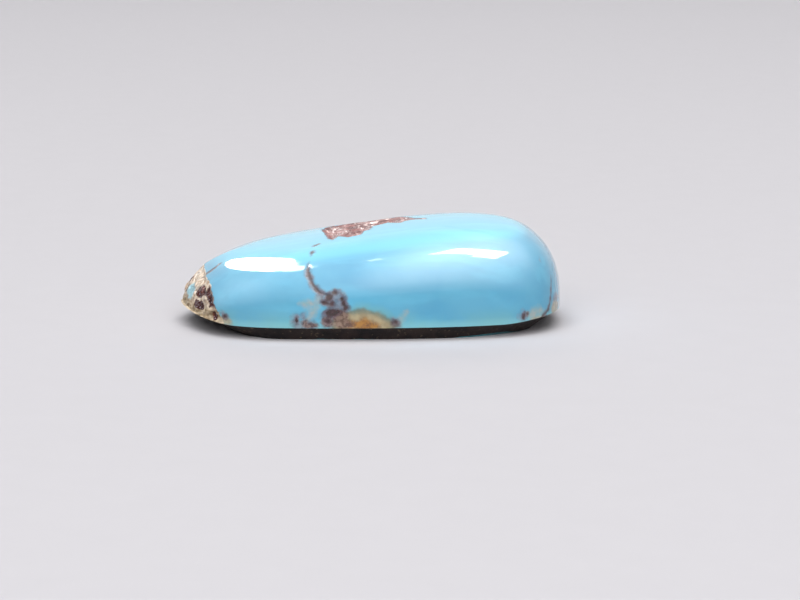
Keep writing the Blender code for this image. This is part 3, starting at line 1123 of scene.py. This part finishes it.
RIGHT_END = (
    Nodule(Filling.BROWN, (11.02, -6.85, 1.44), (0.13, 0.4, 0.26)),
    Nodule(Filling.RUST, (11.28, -6.75, 1.55), (0.10, 0.3, 0.20)),
    Nodule(Filling.HAZE, (10.9, -6.9, 1.4), (0.32, 0.4, 0.42)),
    Nodule(Filling.CREAM, (12.0, -6.2, 1.55), (0.9, 0.8, 0.42)),
    Nodule(Filling.CRUST, (12.2, -6.0, 1.15), (0.9, 0.8, 0.16)),
    Seam(Filling.BROWN, (
        (12.96, -4.2, 4.1, -0.10), (13.05, -4.44, 3.64, -0.02), (13.04, -4.76, 2.82, 0.04), (12.96, -4.97, 2.06, 0.07),
        (12.81, -5.24, 1.59, 0.09), (12.43, -5.71, 1.24, 0.10), (12.0, -5.75, 1.03, 0.08),
    )),
    Nodule(Filling.CRUST, (13.45, -4.1, 1.55), (0.42, 1.1, 0.62)),
    Nodule(Filling.HAZE, (13.5, -3.9, 2.30), (0.35, 0.9, 0.30)),
    Seam(Filling.HAZE, ((12.12, -4.63, 5.42, -0.02), (12.26, -4.8, 5.09, 0.0))),
    # Not matrix: the painted reflection band across the crown.
    Seam(Filling.DEEP, (
        (5.4, -2.9, 7.34, -0.10), (7.1, -4.4, 7.28, 0.10), (8.8, -5.0, 7.01, 0.20), (10.4, -4.85, 6.62, -0.10),
    )),
)

LEFT_END = (
    EndCap(Filling.SKIN, (
        (1.04, -10.30), (1.36, -10.44), (1.73, -10.75), (2.05, -10.98), (2.38, -11.07), (2.78, -11.14), (3.12, -11.27),
        (3.44, -11.40), (3.69, -11.66), (3.93, -11.95), (4.13, -12.25), (4.30, -12.50), (4.50, -12.70),
    )),
    Seam(Filling.BROWN, (
        (-11.92, -3.20, 3.80, 0.06), (-11.72, -3.05, 3.98, 0.16), (-11.52, -3.1, 4.10, 0.20), (-11.22, -3.0, 4.28, 0.16),
        (-11.05, -2.75, 4.46, 0.08), (-10.87, -2.65, 4.56, 0.12),
    )),
    Nodule(Filling.IRONSTONE, (-11.06, -6.85, 1.42), (0.22, 0.4, 0.28)),
    Nodule(Filling.BROWN, (-10.26, -7.50, 1.53), (0.18, 0.3, 0.16)),
    Nodule(Filling.CRUST, (-10.2, -7.45, 1.2), (0.60, 0.6, 0.34)),
    Nodule(Filling.HAZE, (-10.40, -7.38, 1.7), (0.26, 0.4, 0.20)),
    Nodule(Filling.WINDOW, (-13.10, -2.50, 2.62), (0.50, 1.2, 0.62)),
    Nodule(Filling.IRONSTONE, (-12.22, -4.45, 2.88), (0.55, 1.0, 0.48)),
    Seam(Filling.IRONSTONE, (
        (-11.58, -5.35, 3.12, 0.24), (-11.42, -5.95, 2.68, 0.40), (-11.25, -6.35, 2.25, 0.36), (-11.20, -6.50, 2.02, 0.16),
    )),
    Nodule(Filling.IRONSTONE, (-12.38, -5.00, 1.97), (0.60, 1.1, 0.36)),
    Seam(Filling.IRONSTONE, ((-12.95, -0.8, 3.30, 0.16), (-13.3, -0.7, 2.95, 0.22), (-13.6, -0.8, 2.35, 0.16))),
    Nodule(Filling.IRONSTONE, (-12.9, 2.4, 2.9), (1.0, 1.3, 0.7)),
)

CROWN_FAN = (
    Patch(Filling.FAN, (
        (-3.62, 3.0), (-3.15, -1.54), (-2.73, -2.96), (-2.24, -2.05), (-1.59, -2.86), (-1.03, -2.85), (-0.49, -2.58),
        (-0.44, -1.32), (0.07, -0.97), (0.06, 0.35), (0.55, 0.70), (1.29, 1.25), (2.19, 0.42), (2.41, 1.11), (3.0, 1.36),
        (4.23, 0.95), (4.3, 1.25), (3.3, 2.2), (2.9, 3.3), (2.3, 4.6), (1.0, 5.6), (-0.8, 5.9), (-2.4, 5.3), (-3.4, 4.3),
    )),
)

BACK_WALL = (
    Seam(Filling.BROWN, (
        (-0.9, 5.6, 6.4, 0.05), (-0.4, 6.4, 5.9, 0.08), (0.5, 8.2, 4.5, 0.13), (1.1, 8.8, 2.6, 0.10), (0.8, 8.9, 1.0, 0.16),
    )),
    Nodule(Filling.BROWN, (1.4, 8.8, 2.1), (0.35, 0.5, 0.30)),
    Nodule(Filling.RUST, (0.7, 8.8, 1.4), (0.6, 0.5, 0.45)),
    Nodule(Filling.CREAM, (-0.6, 8.8, 1.2), (0.9, 0.5, 0.4)),
    Nodule(Filling.BROWN, (-7.4, 8.6, 1.3), (0.30, 0.5, 0.28)),
    Nodule(Filling.CREAM, (7.8, 8.2, 1.2), (0.8, 0.6, 0.35)),
)

STONE_MATRIX = Matrix(
    deposits=FRONT_VEIN + FRONT_CLUSTER + LEFT_CLUSTER + OCHRE_LENS + RIGHT_END + LEFT_END + CROWN_FAN + BACK_WALL)


class Lights(Enum):
    """What a lamp is for: to light the colours, or to be seen in the polish."""

    COLOUR = "colour"
    MIRRORED = "mirrored"


@dataclass(frozen=True)
class Lamp:
    """A flat soft lamp that faces the stone. Its long axis runs between two places, in metres from the target."""

    name: str
    purpose: Lights
    start: Point
    end: Point
    width: float
    radiance: float
    shape: str = "RECTANGLE"

    def build(self, target: Vector) -> bpy.types.Object:
        """Hang the lamp. Its power is radiance times face area times pi.

        Args:
            target: the point it faces.

        Returns:
            The lamp.
        """
        start, end = Vector(self.start), Vector(self.end)
        middle, length = (start + end) / 2.0, (end - start).length
        light = bpy.data.lights.new(self.name, "AREA")
        light.shape = self.shape
        light.size, light.size_y = length, self.width
        face = length * self.width * (np.pi / 4.0 if self.shape == "ELLIPSE" else 1.0)
        light.energy = self.radiance * face * np.pi
        lamp = bpy.data.objects.new(self.name, light)
        away = middle.normalized()
        along = (end - start - (end - start).dot(away) * away).normalized()
        axes = Matrix4((along, away.cross(along), away)).transposed()
        lamp.rotation_euler = axes.to_euler()
        lamp.location = target + middle
        lamp.visible_camera = False
        lamp.visible_glossy = self.purpose is Lights.MIRRORED
        lamp.visible_diffuse = self.purpose is Lights.COLOUR
        bpy.context.scene.collection.objects.link(lamp)
        return lamp


@dataclass(frozen=True)
class Surround:
    """What the polish mirrors: a soft tent of light, brightest overhead and in front to the right.

    Its radiance is a floor value plus a peak times two profiles. One follows the turn from the front
    horizon (0) over the zenith (0.5) to the back horizon (1). The other follows the sideways part of
    the direction, from -1 to 1. The tent lights no matt colour; the lamps do that.
    """

    low: float = 0.8
    peak: float = 7.2
    turn: tuple[tuple[float, float], ...] = (
        (0.0, 0.07), (0.04, 0.22), (0.09, 0.50), (0.17, 0.64), (0.28, 0.82), (0.38, 0.97), (0.50, 1.0),
        (0.58, 0.72), (0.66, 0.46), (0.74, 0.16), (0.82, 0.06), (0.90, 0.0),
    )
    side: tuple[tuple[float, float], ...] = (
        (-1.0, 0.15), (-0.80, 0.28), (-0.60, 0.36), (-0.42, 0.22), (-0.18, 0.18), (-0.08, 0.42), (0.02, 0.80),
        (0.12, 0.95), (0.25, 1.0), (0.50, 0.80), (0.75, 0.50), (0.90, 0.20), (1.0, 0.0),
    )

    def build(self) -> bpy.types.World:
        """Make the world."""
        world = bpy.data.worlds.new("soft_tent")
        world.use_nodes = True
        graph = Graph(world.node_tree)
        direction = graph.node("ShaderNodeTexCoord").outputs["Generated"]
        parts = graph.node("ShaderNodeSeparateXYZ", {0: direction}).outputs
        forward = graph.math("MULTIPLY", parts["Y"], -1.0)
        turn = graph.math("DIVIDE", graph.math("ARCTAN2", parts["Z"], forward), float(np.pi))
        share = graph.math("MULTIPLY", graph.profile(turn, self.turn), graph.profile(
            graph.math("MULTIPLY_ADD", parts["X"], 0.5, 0.5), tuple((0.5 + 0.5 * x, y) for x, y in self.side)))
        background = world.node_tree.nodes["Background"]
        graph.feed(background.inputs["Strength"], graph.math("MULTIPLY_ADD", share, self.peak, self.low))
        background.inputs["Color"].default_value = (1.0, 0.99, 1.0, 1.0)
        world.cycles_visibility.diffuse = False
        return world


@dataclass(frozen=True)
class Studio:
    """A pale floor, soft lamps, a soft surround and the camera."""

    target: Point = (2.186 * MM, 0.0, 1.40 * MM)
    camera_distance: float = 0.200
    camera_elevation: float = 10.0
    lens: float = 122.13
    sensor: float = 36.0
    floor_size: float = 6.0
    floor_colour: Colour = reflectance("c8c6ca")
    surround: Surround = Surround()
    lamps: tuple[Lamp, ...] = (
        Lamp("front_lamp", Lights.COLOUR, (-0.8, -0.85, 0.68), (0.8, -0.85, 0.68), 0.7, 3.4),
        Lamp("top_lamp", Lights.COLOUR, (-0.6, -0.05, 1.1), (0.6, -0.05, 1.1), 1.0, 3.0),
        Lamp("back_lamp", Lights.COLOUR, (-0.8, 1.2, 0.7), (0.8, 1.2, 0.7), 0.5, 2.4),
        Lamp("left_window", Lights.MIRRORED, (-0.262, 0.920, 0.300), (-0.262, 0.300, 0.915), 0.19, 14.0, "ELLIPSE"),
        Lamp("left_window_tail", Lights.MIRRORED, (-0.267, 0.681, 0.681), (-0.216, 0.136, 0.967), 0.09, 12.0, "ELLIPSE"),
        Lamp("right_window", Lights.MIRRORED, (0.08, 0.05, 1.0), (0.62, -0.20, 1.0), 0.25, 16.0),
        Lamp("right_window_end", Lights.MIRRORED, (0.40, -0.15, 1.0), (0.68, -0.18, 1.0), 0.36, 16.0),
        Lamp("small_window", Lights.MIRRORED, (-0.122, 0.115, 0.985), (-0.108, 0.005, 0.990), 0.025, 5.0),
    )

    def floor(self) -> bpy.types.Object:
        """The floor: one flat face under the stone, in a pale matt finish with a faint grain."""
        half = self.floor_size / 2.0
        mesh = bpy.data.meshes.new("floor")
        mesh.from_pydata([(-half, -half, 0.0), (half, -half, 0.0), (half, half, 0.0), (-half, half, 0.0)], [], [(0, 1, 2, 3)])
        material = bpy.data.materials.new("pale_floor")
        material.use_nodes = True
        graph = Graph(material.node_tree)
        shader = material.node_tree.nodes["Principled BSDF"]
        shader.inputs["Roughness"].default_value = 0.9
        shader.inputs["Specular IOR Level"].default_value = 0.0
        grain = graph.noise(graph.millimetres(), 3.0, 4.0)
        darker = tuple(0.97 * share for share in self.floor_colour)
        graph.feed(shader.inputs["Base Color"], graph.mix(grain, darker, self.floor_colour))
        mesh.materials.append(material)
        floor = bpy.data.objects.new("floor", mesh)
        bpy.context.scene.collection.objects.link(floor)
        return floor

    def camera(self) -> bpy.types.Object:
        """The camera: in front, a little above, looking level across the stone's length."""
        up = np.radians(self.camera_elevation)
        toward = Vector((0.0, -np.cos(up), np.sin(up)))
        data = bpy.data.cameras.new("camera")
        data.lens, data.sensor_width = self.lens, self.sensor
        data.clip_start = 0.01
        camera = bpy.data.objects.new("camera", data)
        camera.location = Vector(self.target) + toward * self.camera_distance
        camera.rotation_euler = toward.to_track_quat("Z", "Y").to_euler()
        bpy.context.scene.collection.objects.link(camera)
        bpy.context.scene.camera = camera
        return camera

    def build(self) -> None:
        """Set up the floor, the lamps, the surround and the camera."""
        scene = bpy.context.scene
        scene.view_settings.view_transform = "Standard"
        scene.world = self.surround.build()
        self.floor()
        for lamp in self.lamps:
            lamp.build(Vector(self.target))
        self.camera()


def main() -> None:
    """Build the stone, then the studio round it."""
    logging.basicConfig(level=logging.INFO, format="%(name)s: %(message)s")
    stone = Cabochon(StoneForm(), STONE_MATRIX, Relief()).build(SharedEffects())
    LOG.info("%s: %d faces", stone.name, len(stone.data.polygons))
    Studio().build()
    LOG.info("studio: floor, lights and camera")


if __name__ == "__main__":
    main()
